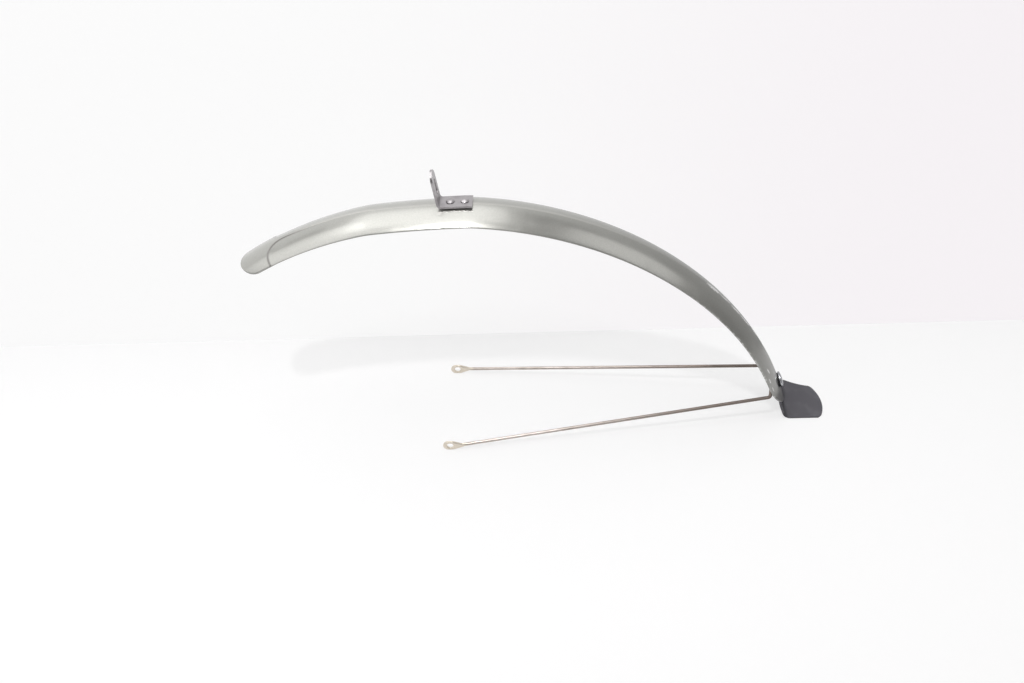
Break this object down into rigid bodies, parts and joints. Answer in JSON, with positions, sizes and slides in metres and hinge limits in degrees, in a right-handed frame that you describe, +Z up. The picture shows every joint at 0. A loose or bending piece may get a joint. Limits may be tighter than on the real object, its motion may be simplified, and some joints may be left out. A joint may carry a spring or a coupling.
{
  "type": "bicycle mudguard",
  "caption": "Arched front mudguard of a bicycle with a raised crown rib, a fork bracket, a wire stay with eyelets and a flexible mud flap bent over on the floor.",
  "frame": {"origin": "on the floor, under the middle of the bounding box", "axes": "+X along the length from the front tip to the flap, +Y across the blade, +Z up from the floor"},
  "size_m": [0.5784, 0.1188, 0.299],
  "materials": {
    "blade_paint": "metallic grey-green paint, glossy, scuffed",
    "bracket_steel": "plain zinc",
    "stay_steel": "zinc-plated wire, dull",
    "clip_plastic": "black, matt",
    "bolt_steel": "bright",
    "flap_rubber": "dark grey, matt"
  },
  "bodies": {
    "root": {"mudguard_blade": "blade_paint", "fork_bracket": "bracket_steel", "bracket_rivets": "bracket_steel", "wire_stay": "stay_steel", "stay_clip": "clip_plastic", "bolt_base": "clip_plastic", "stay_bolt": "bolt_steel", "stay_nut": "bolt_steel", "mud_flap": "flap_rubber"}
  },
  "joints": []
}
